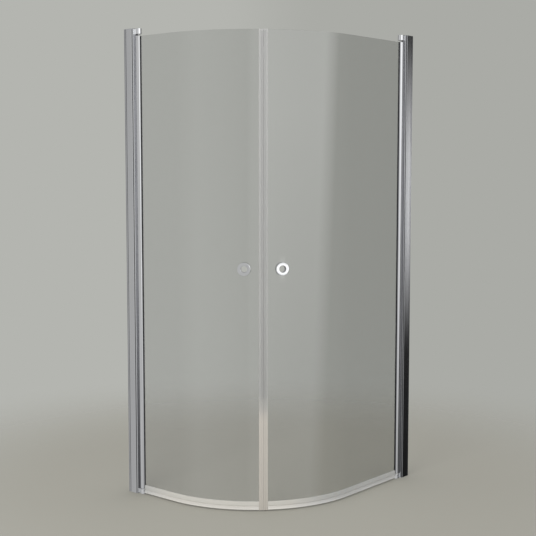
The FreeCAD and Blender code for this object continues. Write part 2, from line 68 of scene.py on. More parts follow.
# What polished metal and glass mirror: heading in degrees from +X, and brightness
STUDIO = ((-180, 0.14), (-172, 0.18), (-162, 0.44), (-128, 0.44), (-105, 0.62), (-80, 0.53),
          (-56, 0.45), (-44, 0.90), (-36, 1.18), (18, 1.14), (36, 0.05), (64, 0.03), (84, 0.20),
          (110, 0.30), (150, 0.27), (180, 0.14))
LEAN = 44.0                     # degrees that its dark edge leans for each unit of height
LEAN_ZONE = (27.0, 17.0, 27.0)  # headings where it leans: middle, full, nothing
FALL_HEIGHTS = (-0.30, 0.05)    # between these heights its bright side dims towards the floor
FALL_LEVELS = (0.30, 1.0)
FALL_ZONE = (-56.0, -36.0)      # headings over which the dimming comes in
# Light patches: heading and height, each as middle, full and nothing, and brightness.  The first
# shows in the right wall profile, the second in the face of the right handle.
PATCHES = (((62.0, 4.7, 5.6), (-0.02, 0.01, 0.15), 1.1),
           ((-22.0, 1.5, 3.5), (-0.093, 0.006, 0.014), 0.5))
POLES = (0.45, 0.75)            # beyond these heights, up or down, the studio is one plain tone
POLE_LEVEL = 0.4
PLAIN = 0.82                    # the light on dull surfaces

# Painted reflection on the grey seals and painted light on clear plastic, metres
DARK_REFLECTION_HEIGHTS = (0.1, 1.2)       # between these heights the painted dark reflection on the grey seals fades out upwards
PAINTED_LIGHT_HEIGHTS = (0.40, 0.54)     # between these heights the painted light on clear plastic ends
PAINTED_LIGHT_RAGGED = 0.08              # how far its edge strays
PAINTED_LIGHT_POOL = ((0.09, -0.42, 0.02), 0.24, 0.46)      # middle of the painted pool of light on the seals, and how far it reaches: full, nothing

# Plan of the enclosure, metres
LEFT_WALL, BACK_WALL = -0.400, 0.500
LEFT_GLASS, RIGHT_GLASS = -0.482, 0.382         # middle of each straight glass
CURVE_RADIUS = 0.517                            # middle of the glass
MEETING = math.radians(45)
STRAIGHT = {"left": 0.265, "right": 0.465}      # straight glass line, from the wall
SIDES = ("left", "right")
HANDLE_FROM_MEETING = 0.078
HANDLE_HEIGHT = 1.006

# Pieces, millimetres, in a side's own plan: s from the wall along the straight glass, n from the
# middle of the glass outwards, and z up
TOP = 2000.0
CAP_FOOT = 1998.5               # underside of the caps
CAP_TAB = (40.0, 54.0)          # s of its part over the adjusting profile
CAP_PLUG = (2.1, 13.9, 15.9, 12.0)              # in the wall profile: s, half its width, depth
PROFILE_REACH = 46.0            # wall profile: how far it comes from the wall, and half its width
PROFILE_HALF = 18.0
ADJUSTING_HALF = 15.8
WALL_GROOVES = ((2.2, 4.2), (9.6, 12.6))        # s of each groove in both flanges
ADJUSTING_GROOVES = ((46.2, 49.6),)
GROOVE_DEPTH = 1.0
HINGE_S = 71.0
BARREL_BORE, BARREL_RADIUS = 3.0, 12.3          # of a pivot block
BARREL_GROOVE = (4.0, 0.5, 0.4)                 # off the middle, half its height, depth
NECK = (46.6, 64.0, 6.0)        # from the tongue to the barrel: s, half its width
TONGUE = (18.4, 48.4, 13.9)     # in the adjusting profile: s, half its width
LOCK_SCREW = (3.8, 2.2, 2.0, 8.0)               # head: radius and height, shank: radius and length
LOCK_SCREW_S = 30.0
LOCK_SCREW_HEIGHTS = (150.0, 1000.0, 1850.0)
BLOCK_SCREW = (2.8, 1.4, 1.5, 10.0)
BLOCK_SCREW_S = 28.0
BLOCK_SCREW_HEIGHTS = (10.5, 1988.0)
SLOT_HALF = 0.35                # half the width of a screw's cross recess
COVER_RADIUS, COVER_HEIGHT = 6.5, 4.8
COVER_INSIDE, COVER_HOLLOW = 5.5, 3.6           # radius and height of its hollow
NOTCH_HALF, NOTCH_HEIGHT = 1.2, 0.7
RING_BORE, RING_RADIUS, RING_DEPTH = 13.5, 27.5, 7.0
SLEEVE_RADIUS, SLEEVE_LENGTH = 17.0, 16.9
THREAD_RADIUS = 17.05           # hole of the inner ring
RING_SEATS = {"outer": 4.0, "inner": -4.74}     # n of each ring's flat back
GRIP = (3.0, 4.2)               # n of the lips and clips that hold the glass, on both sides of it
STRIP_FOOT, STRIP_TOP = 3.0, 1968.0
CHAMBER = (-7.15, -0.15)        # the magnet's chamber, up to the meeting line
CHAMBER_HALF = 6.0
CHAMBER_WALL = 1.2
LIPS = (-18.0, -6.6)
SEAL_START = 85.2               # s, beside the door profile
SEAL_END = 18.2                 # short of the meeting line, along the glass
CLIP_FOOT, CLIP_WEB, CLIP_TOP = 21.5, 24.0, 39.0
# The seal's two blades: two corners (n, z) of the root, the steps (n, z) that draw it out, and the
# share of its thickness that each step leaves
BLADES = (((0.6, 19.0), (2.2, CLIP_FOOT),
           ((2.2, -1.4), (0.55, -3.0), (0.75, -3.0), (1.1, -3.0), (1.3, -2.6)), 0.93),
          ((-3.0, 19.5), (-1.4, CLIP_FOOT),
           ((-0.1, -3.0), (-0.35, -3.0), (-0.7, -2.9), (-1.0, -2.6)), 0.92))
# Roundings: width and segments
RIM, BORE_RIM, THREAD_RIM = (2.4, 7), (1.4, 5), (0.6, 3)
CHAMBER_EDGE, LIP_EDGE, CLIP_EDGE = (1.0, 3), (0.5, 3), (0.45, 3)
BARREL_RIM, CAP_EDGE, COVER_RIM = (1.3, 6), (0.6, 3), (1.1, 5)

# How the tools find and cut, millimetres, and shares of a direction
NEAR = 0.1                      # how closely a test finds a face, an edge or a corner
PAST = 5.0                      # how far a cutter reaches past what it cuts
ALONG = 0.9                     # a direction that is along an axis
DOWN = -0.7                     # a face of a blade that looks down


def linear(colour):
    """An sRGB hex colour as linear red, green, blue and alpha."""
    channels = []
    for start in (1, 3, 5):
        value = int(colour[start:start + 2], 16) / 255
        channels.append(value / 12.92 if value <= 0.04045 else ((value + 0.055) / 1.055) ** 2.4)
    return (*channels, 1.0)


def add(tree, kind, links=None, **settings):
    """Add a node; links gives its inputs as values or as other nodes' outputs."""
    made = tree.nodes.new(kind)
    for name, value in settings.items():
        setattr(made, name, value)
    for socket, value in (links or {}).items():
        if isinstance(value, bpy.types.NodeSocket):
            tree.links.new(value, made.inputs[socket])
        else:
            made.inputs[socket].default_value = value
    return made


def maths(tree, operation, *values):
    """One step of arithmetic."""
    return add(tree, "ShaderNodeMath", dict(enumerate(values)), operation=operation).outputs[0]


def remap(tree, value, old, new=(0.0, 1.0), smooth=False):
    """Carry a value from one range over to another, and hold it at the ends."""
    return add(tree, "ShaderNodeMapRange", {"Value": value, "From Min": old[0], "From Max": old[1],
                                            "To Min": new[0], "To Max": new[1]},
               interpolation_type="SMOOTHSTEP" if smooth else "LINEAR").outputs[0]


def blend(tree, share, first, second, kind="RGBA"):
    """A colour between two, or a number between two if the kind is FLOAT."""
    return add(tree, "ShaderNodeMix", {"Factor": share, "A": first, "B": second},
               data_type=kind).outputs["Result"]


def new_material(name, sockets):
    """A material with one Principled BSDF, its tree and its Object coordinates."""
    material = bpy.data.materials.new(name)
    material.use_nodes = True
    tree = material.node_tree
    tree.nodes.clear()
    shader = add(tree, "ShaderNodeBsdfPrincipled", sockets)
    add(tree, "ShaderNodeOutputMaterial", {"Surface": shader.outputs[0]})
    return material, tree, shader, add(tree, "ShaderNodeTexCoord").outputs["Object"]


def pattern(tree, place, scale, detail=2.0):
    """Noise with its own scale along each axis, in waves per metre."""
    scaled = add(tree, "ShaderNodeMapping", {"Vector": place, "Scale": scale})
    return add(tree, "ShaderNodeTexNoise", {"Vector": scaled.outputs[0], "Scale": 1.0,
                                            "Detail": detail}).outputs[0]


def spread(tree, noise, low, high):
    """Stretch the middle of a noise to lie between two values."""
    return remap(tree, noise, (0.3, 0.7), (low, high))


def tones(tree, noise, dark, light):
    """A noise as a colour between two sRGB tones."""
    return blend(tree, spread(tree, noise, 0.0, 1.0), linear(dark), linear(light))


def bump(tree, shader, height, distance, strength):
    """Let a noise stand out of the surface by a distance in metres."""
    made = add(tree, "ShaderNodeBump", {"Height": height, "Distance": distance, "Strength": strength})
    tree.links.new(made.outputs[0], shader.inputs["Normal"])


def polished_aluminium():
    # Extruded and bright polished: a mirror with faint die lines along its length.
    material, tree, shader, place = new_material("polished_aluminium", {"Metallic": 1.0})
    die_lines = pattern(tree, place, (900.0, 900.0, 0.7))
    drift = pattern(tree, place, (4.0, 4.0, 1.3))
    tree.links.new(tones(tree, drift, "#dddee1", "#e8e9ea"), shader.inputs["Base Color"])
    tree.links.new(spread(tree, die_lines, 0.04, 0.09), shader.inputs["Roughness"])
    bump(tree, shader, die_lines, 0.00002, 0.4)
    return material


def painted_shade_aluminium():
    # The floor of a groove, as drawn: dull, and painted dark with painted shade.
    material, tree, shader, place = new_material("painted_shade_aluminium", {"Metallic": 1.0})
    die_lines = pattern(tree, place, (1100.0, 1100.0, 1.5))
    shade_cloud = pattern(tree, place, (60.0, 60.0, 9.0), 4.0)
    tree.links.new(tones(tree, shade_cloud, "#55565a", "#6a6b6f"), shader.inputs["Base Color"])
    tree.links.new(spread(tree, die_lines, 0.45, 0.6), shader.inputs["Roughness"])
    bump(tree, shader, die_lines, 0.00003, 0.6)
    return material


def chrome():
    # Chromed zinc casting: the cleanest mirror here, slightly uneven and with a few soft smears.
    material, tree, shader, place = new_material("chrome", {"Metallic": 1.0})
    smears = pattern(tree, place, (70.0, 70.0, 35.0), 3.0)
    ripple = pattern(tree, place, (90.0, 90.0, 90.0), 1.0)
    tree.links.new(tones(tree, smears, "#eeeff1", "#f6f7f8"), shader.inputs["Base Color"])
    tree.links.new(spread(tree, smears, 0.03, 0.08), shader.inputs["Roughness"])
    bump(tree, shader, ripple, 0.00004, 0.5)
    return material


def chromed_plastic():
    # Moulded ABS with a thin plated skin: a softer mirror with a faint orange peel.
    material, tree, shader, place = new_material("chromed_plastic", {"Metallic": 1.0})
    peel = pattern(tree, place, (600.0, 600.0, 600.0), 1.0)
    cloud = pattern(tree, place, (60.0, 60.0, 60.0))
    tree.links.new(tones(tree, cloud, "#d3d5d9", "#dddfe2"), shader.inputs["Base Color"])
    tree.links.new(spread(tree, peel, 0.14, 0.22), shader.inputs["Roughness"])
    bump(tree, shader, peel, 0.00003, 0.5)
    return material


def stainless_steel():
    # Cold-headed and turned screws and pins: fine rings round the shank give a satin shine.
    material, tree, shader, place = new_material("stainless_steel", {"Metallic": 1.0})
    turning = pattern(tree, place, (60.0, 60.0, 1500.0))
    tree.links.new(tones(tree, turning, "#b9b9b8", "#cdcdcb"), shader.inputs["Base Color"])
    tree.links.new(spread(tree, turning, 0.24, 0.36), shader.inputs["Roughness"])
    bump(tree, shader, turning, 0.00002, 0.5)
    return material


def black_rubber():
    # Extruded EPDM: dark grey and dull, with fine drawn lines and a bloom of lime in patches.
    material, tree, shader, place = new_material("black_rubber", {})
    drawn = pattern(tree, place, (1200.0, 1200.0, 6.0))
    bloom = pattern(tree, place, (25.0, 25.0, 8.0), 4.0)
    tree.links.new(tones(tree, bloom, "#26272a", "#36373a"), shader.inputs["Base Color"])
    tree.links.new(spread(tree, drawn, 0.45, 0.62), shader.inputs["Roughness"])
    bump(tree, shader, drawn, 0.00004, 0.6)
    return material


def grey_rubber():
    # Soft co-extruded hinge seal: mid grey, with a dull shine and drawn lines, and painted darker
    # towards the floor: a painted dark reflection.
    material, tree, shader, place = new_material("grey_rubber", {})
    drawn = pattern(tree, place, (1000.0, 1000.0, 5.0))
    cloud = pattern(tree, place, (30.0, 30.0, 6.0), 4.0)
    height = add(tree, "ShaderNodeSeparateXYZ", {0: place}).outputs["Z"]
    # Painted dark reflection: the grey is painted darker towards the floor.
    dark_reflection = remap(tree, height, DARK_REFLECTION_HEIGHTS, (1.0, 0.0))
    colour = blend(tree, dark_reflection, tones(tree, cloud, "#8b8c90", "#9a9ba0"), linear("#505155"))
    tree.links.new(colour, shader.inputs["Base Color"])
    tree.links.new(spread(tree, drawn, 0.35, 0.5), shader.inputs["Roughness"])
    bump(tree, shader, drawn, 0.00004, 0.5)
    return material


def white_nylon():
    # Moulded nylon: off-white, with a fine spark-eroded texture and a waxy sheen.
    material, tree, shader, place = new_material("white_nylon", {"Subsurface Weight": 0.08})
    grain = pattern(tree, place, (1400.0, 1400.0, 1400.0), 1.0)
    tree.links.new(tones(tree, grain, "#d9d9d2", "#e4e4dd"), shader.inputs["Base Color"])
    tree.links.new(spread(tree, grain, 0.38, 0.5), shader.inputs["Roughness"])
    bump(tree, shader, grain, 0.00003, 0.6)
    return material


def grey_glass():
    # Toughened glass with a light grey tint and a water-shedding coat, which mirrors more than
    # bare glass does.  Roller waves bend the reflections a little.
    material, tree, shader, place = new_material("grey_glass", {
        "Base Color": linear("#e6e7e6"), "Roughness": 0.0, "IOR": 1.5, "Transmission Weight": 1.0,
        "Coat Weight": 1.0, "Coat Roughness": 0.0, "Coat IOR": 1.65})
    waves = pattern(tree, place, (2.5, 2.5, 5.0), 1.0)
    bump(tree, shader, waves, 0.00025, 0.5)
    return material


def clear_pvc(drawn_scale=(700.0, 700.0, 2.0), clear=0.58, painted_light_colour="#e3ddd4", painted_light_clear=0.2,
              light_pool=None):
    # Co-extruded clear PVC, which lets the magnet show through.  The lowest half metre is painted
    # white and milky: painted light from the lit floor behind it, kept to a painted pool of light if one
    # is given.
    material, tree, shader, place = new_material("clear_pvc", {"IOR": 1.53})
    drawn = pattern(tree, place, drawn_scale)
    height = add(tree, "ShaderNodeSeparateXYZ", {0: place}).outputs["Z"]
    ragged = maths(tree, "MULTIPLY_ADD", pattern(tree, place, (9.0, 9.0, 9.0)), PAINTED_LIGHT_RAGGED, height)
    # Painted light: whiter and less clear below these heights.
    painted_light = remap(tree, ragged, PAINTED_LIGHT_HEIGHTS, (1.0, 0.0), smooth=True)
    # Painted pool of light: the painted light is kept near one place.
    if light_pool:
        pool_middle, *reach = light_pool
        away = add(tree, "ShaderNodeVectorMath", {0: place, 1: pool_middle}, operation="DISTANCE")
        near = remap(tree, away.outputs["Value"], reach, (1.0, 0.0), smooth=True)
        painted_light = maths(tree, "MULTIPLY", painted_light, near)
    colour = blend(tree, painted_light, tones(tree, drawn, "#e4e4e2", "#eeeeec"), linear(painted_light_colour))
    tree.links.new(colour, shader.inputs["Base Color"])
    tree.links.new(remap(tree, painted_light, (0.0, 1.0), (clear, painted_light_clear)),
                   shader.inputs["Transmission Weight"])
    tree.links.new(spread(tree, drawn, 0.12, 0.22), shader.inputs["Roughness"])
    bump(tree, shader, drawn, 0.00003, 0.5)
    return material


def magnet_rubber():
    # Flexible magnet: ferrite powder in rubber, dull brown-grey with a fine grain.
    material, tree, shader, place = new_material("magnet_rubber", {})
    grain = pattern(tree, place, (900.0, 900.0, 300.0), 3.0)
    tree.links.new(tones(tree, grain, "#6f6e6d", "#807f7d"), shader.inputs["Base Color"])
    tree.links.new(spread(tree, grain, 0.55, 0.75), shader.inputs["Roughness"])
    bump(tree, shader, grain, 0.00004, 0.6)
    return material


def clear_washer():
    # Soft clear PVC washers behind the rings: milky, with a moulded satin face.
    material, tree, shader, place = new_material("clear_washer", {
        "IOR": 1.53, "Transmission Weight": 0.4})
    grain = pattern(tree, place, (800.0, 800.0, 800.0), 1.0)
    tree.links.new(tones(tree, grain, "#c6c8c8", "#d4d5d4"), shader.inputs["Base Color"])
    tree.links.new(spread(tree, grain, 0.15, 0.28), shader.inputs["Roughness"])
    bump(tree, shader, grain, 0.00003, 0.5)
    return material


FINISHES = {make.__name__: make() for make in (
    polished_aluminium, chrome, chromed_plastic, stainless_steel, black_rubber, grey_rubber, white_nylon,
    grey_glass, clear_pvc, magnet_rubber, clear_washer)}
# Painted shade for the floors of the grooves.
GROOVE_PAINTED_SHADE = painted_shade_aluminium()
# On the seals the painted light is kept to a painted pool of light in the lit middle.
SEAL_PVC = clear_pvc((3.0, 3.0, 700.0), 0.30, "#f0ede6", 0.16, PAINTED_LIGHT_POOL)      # drawn lengthways too


def dress_frame():
    """Give every CAD node the finish that its slot names."""
    for part in frame["record"]["subparts"]:
        for slot in frame["nodes"][part["node"]].material_slots:
            slot.material = FINISHES[part["material_slot"]]
    for side in SIDES:
        # The floor is lit through the glass as if it were clear, and the glass casts no shadow.
        glass = frame["nodes"][f"{side}_glass_panel"]
        glass.visible_shadow = glass.visible_diffuse = False


def wall_frame(side):
    """From a side's own plan to the room."""
    if side == "left":
        return Matrix(((1, 0, 0, LEFT_WALL), (0, -1, 0, LEFT_GLASS), (0, 0, 1, 0), (0, 0, 0, 1)))
    return Matrix(((0, 1, 0, RIGHT_GLASS), (-1, 0, 0, BACK_WALL), (0, 0, 1, 0), (0, 0, 0, 1)))


def curve_frame(side, from_meeting, height=0.0):
    """From a plan that starts on the curved glass: along it to the meeting line, outwards, up."""
    angle = MEETING - from_meeting / CURVE_RADIUS
    outward = Vector((math.sin(angle), math.cos(angle), 0))
    along = Vector((math.cos(angle), -math.sin(angle), 0))
    place = Vector((STRAIGHT[side], -CURVE_RADIUS, height)) + outward * CURVE_RADIUS
    axes = Matrix((along, outward, (0, 0, 1))).transposed().to_4x4()
    return wall_frame(side) @ Matrix.Translation(place) @ axes


def across(s, z, n):
    """Turn a piece drawn on the Z axis to point to the inside of the enclosure, at (s, n, z)."""
    return Matrix.Translation((s * MM, n * MM, z * MM)) @ Matrix.Rotation(math.pi / 2, 4, "X")


def box(low, high):
    """A box between two corners, given in millimetres."""
    middle = [(a + b) / 2 * MM for a, b in zip(low, high)]
    bpy.ops.mesh.primitive_cube_add(size=1, location=middle)
    bpy.context.object.scale = [(b - a) * MM for a, b in zip(low, high)]
    bpy.ops.object.transform_apply(location=True, rotation=True, scale=True)
    return bpy.context.object


def duplicate(piece):
    """A copy of a piece with its own mesh."""
    own = piece.copy()
    own.data = piece.data.copy()
    bpy.context.collection.objects.link(own)
    return own


def everything(middle, direction):
    """A test for pick that all parts pass."""
    return True


def pick(piece, kind, test):
    """Enter edit mode with only the parts selected whose middle and direction pass the test."""
    bpy.ops.object.select_all(action="DESELECT")
    piece.select_set(True)
    bpy.context.view_layer.objects.active = piece
    bpy.ops.object.mode_set(mode="EDIT")
    bpy.ops.mesh.select_mode(type=kind)
    bpy.ops.mesh.select_all(action="DESELECT")
    mesh = bmesh.from_edit_mesh(piece.data)
    if kind == "FACE":
        for face in mesh.faces:
            face.select_set(test(face.calc_center_median() / MM, face.normal))
    elif kind == "VERT":
        for corner in mesh.verts:
            corner.select_set(test(corner.co / MM, corner.normal))
    else:
        for edge in mesh.edges:
            ends = [corner.co for corner in edge.verts]
            edge.select_set(test((ends[0] + ends[1]) / 2 / MM, (ends[1] - ends[0]).normalized()))
    bmesh.update_edit_mesh(piece.data)


def done():
    """Leave edit mode."""
    bpy.ops.object.mode_set(mode="OBJECT")


def face_outwards(piece):
    """Point all faces outwards."""
    pick(piece, "FACE", everything)
    bpy.ops.mesh.normals_make_consistent(inside=False)
    done()


def round_edges(piece, rounding, test):
    """Round the edges that pass the test by a (width, segments) rounding."""
    width, segments = rounding
    pick(piece, "EDGE", test)
    bpy.ops.mesh.bevel(offset=width * MM, segments=segments, affect="EDGES", clamp_overlap=True)
    done()


def draw_down(piece, steps, share):
    """Extrude the lowest faces by each (n, z) step in turn, leaving a share of their thickness."""
    for n, z in steps:
        pick(piece, "FACE", lambda middle, normal: normal.z < DOWN)
        bpy.ops.mesh.extrude_region_move(TRANSFORM_OT_translate={"value": (0, n * MM, z * MM)})
        bpy.ops.transform.resize(value=(1, share, 1))
        done()


def join(pieces):
    """Make several pieces one object, each still its own solid."""
    bpy.ops.object.select_all(action="DESELECT")
    for piece in pieces:
        piece.select_set(True)
    bpy.context.view_layer.objects.active = pieces[0]
    bpy.ops.object.join()
    return pieces[0]


def combine(piece, others, operation):
    """Unite pieces with a piece, or cut them out of it."""
    for other in others:
        step = piece.modifiers.new("combine", "BOOLEAN")
        step.operation, step.solver, step.object = operation, "EXACT", other
        bpy.context.view_layer.objects.active = piece
        bpy.ops.object.modifier_apply(modifier=step.name)
        bpy.data.objects.remove(other)
    return piece


def section(low, high):
    """Half of a turned piece's cross-section: a plane between two (radius, height) corners."""
    radius, height = [(a + b) / 2 * MM for a, b in zip(low, high)]
    bpy.ops.mesh.primitive_plane_add(size=1, location=(radius, 0, height), rotation=(math.pi / 2, 0, 0))
    bpy.context.object.scale = ((high[0] - low[0]) * MM, (high[1] - low[1]) * MM, 1)
    bpy.ops.object.transform_apply(location=True, rotation=True, scale=True)
    return bpy.context.object


def bisect(piece, radius=None, height=None):
    """Cut a section all through at a radius or a height."""
    pick(piece, "FACE", everything)
    upright = radius is not None
    bpy.ops.mesh.bisect(plane_co=(radius * MM, 0, 0) if upright else (0, 0, height * MM),
                        plane_no=(1, 0, 0) if upright else (0, 0, 1))
    done()


def draw_out(piece, test, radius, height):
    """Extrude the edges of a section that pass the test by a (radius, height) move."""
    pick(piece, "EDGE", test)
    bpy.ops.mesh.extrude_region_move(TRANSFORM_OT_translate={"value": (radius * MM, 0, height * MM)})
    done()


def round_corners(piece, rounding, test):
    """Round the corners of a section that pass the test by a (width, segments) rounding."""
    width, segments = rounding
    pick(piece, "FACE", everything)
    bpy.ops.mesh.dissolve_faces()
    done()
    pick(piece, "VERT", test)
    bpy.ops.mesh.bevel(offset=width * MM, segments=segments, affect="VERTICES")
    done()


def turn(piece, steps):
    """Spin the outline of a section once round the Z axis."""
    pick(piece, "FACE", everything)
    bpy.ops.mesh.dissolve_faces()
    bpy.ops.mesh.delete(type="ONLY_FACE")
    bpy.ops.mesh.select_all(action="SELECT")
    bpy.ops.mesh.spin(steps=steps, angle=2 * math.pi, center=(0, 0, 0), axis=(0, 0, 1))
    bpy.ops.mesh.select_all(action="SELECT")
    bpy.ops.mesh.remove_doubles(threshold=0.000005)
    bpy.ops.mesh.delete_loose()
    done()
    face_outwards(piece)
    return piece


def finish_piece(piece, name, body, slot, replaced, matrix, angle=30, material=None):
    """Put a piece in its place, point its faces outwards and give it its finish and body."""
    piece.name = piece.data.name = name
    piece.matrix_world = matrix
    bpy.ops.object.select_all(action="DESELECT")
    piece.select_set(True)
    bpy.ops.object.transform_apply(location=True, rotation=True, scale=True)
    face_outwards(piece)
    bpy.ops.object.shade_smooth_by_angle(angle=math.radians(angle))
    flats = piece.modifiers.new("flats", "WEIGHTED_NORMAL")      # keeps the flats beside a rounding flat
    flats.keep_sharp = True
    bpy.context.view_layer.objects.active = piece
    bpy.ops.object.modifier_apply(modifier=flats.name)
    piece.data.materials.clear()
    piece.data.materials.append(material or FINISHES[slot])
    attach(piece, body)
    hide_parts(*replaced)
    bpy.ops.object.select_all(action="DESELECT")


def copies(piece, places, slot):
    """One finished piece for each (name, body, replaced nodes, matrix), each with its own mesh."""
    for index, (name, body, replaced, matrix) in enumerate(places):
        own = duplicate(piece) if index < len(places) - 1 else piece
        finish_piece(own, name, body, slot, replaced, matrix)


def spaced(piece, matrices):
    """One joined piece of a copy at each place."""
    made = []
    for matrix in matrices:
        own = duplicate(piece)
        own.data.transform(matrix)
        made.append(own)
    bpy.data.objects.remove(piece)
    return join(made)


def on_both_sides(piece, word, node, slot):
    """A piece fixed to the wall profile, drawn once in the plan of a side."""
    copies(piece, [(f"{side}_{word}", "wall_assemblies", [f"{side}_{node}"], wall_frame(side))
                   for side in SIDES], slot)


def ring_handles():
    """Round-faced outer rings with a threaded sleeve, and the rings screwed on from inside."""
    outer = section((RING_BORE, 0), (RING_RADIUS, RING_DEPTH))
    bisect(outer, radius=SLEEVE_RADIUS)
    draw_out(outer, lambda middle, along: middle.z < NEAR and middle.x < SLEEVE_RADIUS, 0, -SLEEVE_LENGTH)
    round_corners(outer, BORE_RIM, lambda place, normal: place.z > RING_DEPTH - NEAR
                  and place.x < RING_BORE + NEAR)
    round_corners(outer, RIM, lambda place, normal: place.z > RING_DEPTH - NEAR
                  and place.x > RING_RADIUS - NEAR)
    inner = section((THREAD_RADIUS, -RING_DEPTH), (RING_RADIUS, 0))
    round_corners(inner, RIM, lambda place, normal: place.z < NEAR - RING_DEPTH
                  and place.x > RING_RADIUS - NEAR)
    round_corners(inner, THREAD_RIM, lambda place, normal: place.z < NEAR - RING_DEPTH
                  and place.x < THREAD_RADIUS + NEAR)
    outwards = Matrix.Rotation(-math.pi / 2, 4, "X")
    for half, word in ((outer, "outer"), (inner, "inner")):
        ring = turn(half, steps=96)
        seat = Matrix.Translation((0, RING_SEATS[word] * MM, 0)) @ outwards
        copies(ring, [(f"{side}_handle_{word}_ring_turned", f"{side}_door",
                       [f"{side}_handle_{word}_ring"],
                       curve_frame(side, HANDLE_FROM_MEETING, HANDLE_HEIGHT) @ seat)
                      for side in SIDES], "chrome")


def magnetic_strips():
    """A soft-cornered magnet chamber on the meeting edge, with two lips that grip the glass."""
    chamber = box((CHAMBER[0], -CHAMBER_HALF, STRIP_FOOT), (CHAMBER[1], CHAMBER_HALF, STRIP_TOP))
    pick(chamber, "FACE", lambda middle, normal: abs(normal.z) > ALONG)
    bpy.ops.mesh.delete(type="FACE")
    done()
    round_edges(chamber, CHAMBER_EDGE, lambda middle, along: abs(along.z) > ALONG)
    wall = chamber.modifiers.new("wall", "SOLIDIFY")
    wall.thickness = CHAMBER_WALL * MM
    wall.offset = -1.0          # inwards
    bpy.ops.object.modifier_apply(modifier=wall.name)
    # Each lip is turned about the centre of the curve, so that it lies along the glass.
    back = -sum(LIPS) / 2 * MM
    centre = Vector((0, -CURVE_RADIUS, 0))
    follow = (Matrix.Translation(centre) @ Matrix.Rotation(back / CURVE_RADIUS, 4, "Z")
              @ Matrix.Translation(-centre) @ Matrix.Translation((back, 0, 0)))
    lips = []
    for face in (1, -1):
        low, high = sorted(n * face for n in GRIP)
        lip = box((LIPS[0], low, STRIP_FOOT), (LIPS[1], high, STRIP_TOP))
        round_edges(lip, LIP_EDGE, lambda middle, along: abs(along.z) > ALONG
                    and middle.x < LIPS[0] + NEAR and abs(middle.y) > GRIP[1] - NEAR)
        lip.matrix_world = follow
        bpy.ops.object.transform_apply(location=True, rotation=True, scale=True)
        lips.append(lip)
    copies(join([chamber, *lips]),
           [(f"{side}_magnetic_strip_drawn", f"{side}_door", [f"{side}_magnetic_strip"],
             curve_frame(side, 0.0)) for side in SIDES], "clear_pvc")


def swept(side, piece):
    """Carry a straight piece, drawn up to the start of the curve, on round the curve."""
    end = STRAIGHT[side] / MM
    pick(piece, "FACE", lambda middle, normal: normal.x > ALONG and middle.x > end - NEAR)
    bpy.ops.mesh.spin(steps=28, angle=MEETING - SEAL_END * MM / CURVE_RADIUS,
                      center=(STRAIGHT[side], -CURVE_RADIUS, 0), axis=(0, 0, 1))
    done()
    return piece


def bottom_seals():
    """A clip over the lower edge of the glass with two soft blades that splay as they reach down."""
    inside, outside = GRIP
    for side in SIDES:
        end = STRAIGHT[side] / MM
        parts = [box((SEAL_START, inside, CLIP_FOOT), (end, outside, CLIP_TOP)),
                 box((SEAL_START, -outside, CLIP_FOOT), (end, -inside, CLIP_TOP))]
        for clip in parts:
            round_edges(clip, CLIP_EDGE, lambda middle, along: abs(along.x) > ALONG
                        and middle.z > CLIP_TOP - NEAR and abs(middle.y) > outside - NEAR)
        parts.append(box((SEAL_START, -inside, CLIP_FOOT), (end, inside, CLIP_WEB)))
        for low, high, steps, share in BLADES:
            blade = box((SEAL_START, *low), (end, *high))
            draw_down(blade, steps, share)
            parts.append(blade)
        finish_piece(join([swept(side, part) for part in parts]), f"{side}_bottom_seal_swept",
                     f"{side}_door", "clear_pvc", [f"{side}_bottom_seal"], wall_frame(side),
                     material=SEAL_PVC)


def groove_cutter(side, half, start, end, face):
    """A wedge that cuts one groove in the outer (1) or inner (-1) flange, deepest at its start."""
    low, high = sorted(((half - GROOVE_DEPTH) * face, (half + PAST) * face))
    cutter = box((start, low, -PAST), (end, high, TOP + PAST))
    pick(cutter, "VERT", lambda place, normal: place.x > end - NEAR and abs(place.y) < half)
    bpy.ops.transform.translate(value=(0, (GROOVE_DEPTH + NEAR) * face * MM, 0))
    done()
    cutter.data.transform(wall_frame(side))
    face_outwards(cutter)
    return cutter


def grooved_profiles(kind, half, grooves):
    """The CAD profiles of one kind with fine grooves, whose floors are dull and painted dark with painted
    shade.
    """
    for side in SIDES:
        piece = duplicate(frame["nodes"][f"{side}_{kind}"])
        pick(piece, "FACE", everything)
        bpy.ops.mesh.remove_doubles(threshold=0.00001)
        bpy.ops.mesh.dissolve_limited(angle_limit=math.radians(1))
        done()
        cutters = [groove_cutter(side, half, *groove, face) for groove in grooves for face in (1, -1)]
        combine(piece, cutters, "DIFFERENCE")
        # The slopes of the grooves are shallow, so edges count as sharp from 15 degrees here.
        finish_piece(piece, f"{side}_{kind}_grooved", "wall_assemblies", "polished_aluminium",
                     [f"{side}_{kind}"], Matrix(), angle=15)
        piece.data.materials.append(GROOVE_PAINTED_SHADE)
        plan = wall_frame(side).inverted()
        for face in piece.data.polygons:
            place = plan @ face.center / MM
            # Faces on the floors of the grooves take the painted shade.
            sunk = half - GROOVE_DEPTH - NEAR < abs(place.y) < half - NEAR
            face.material_index = int(sunk and any(start - NEAR < place.x < end for start, end in grooves))


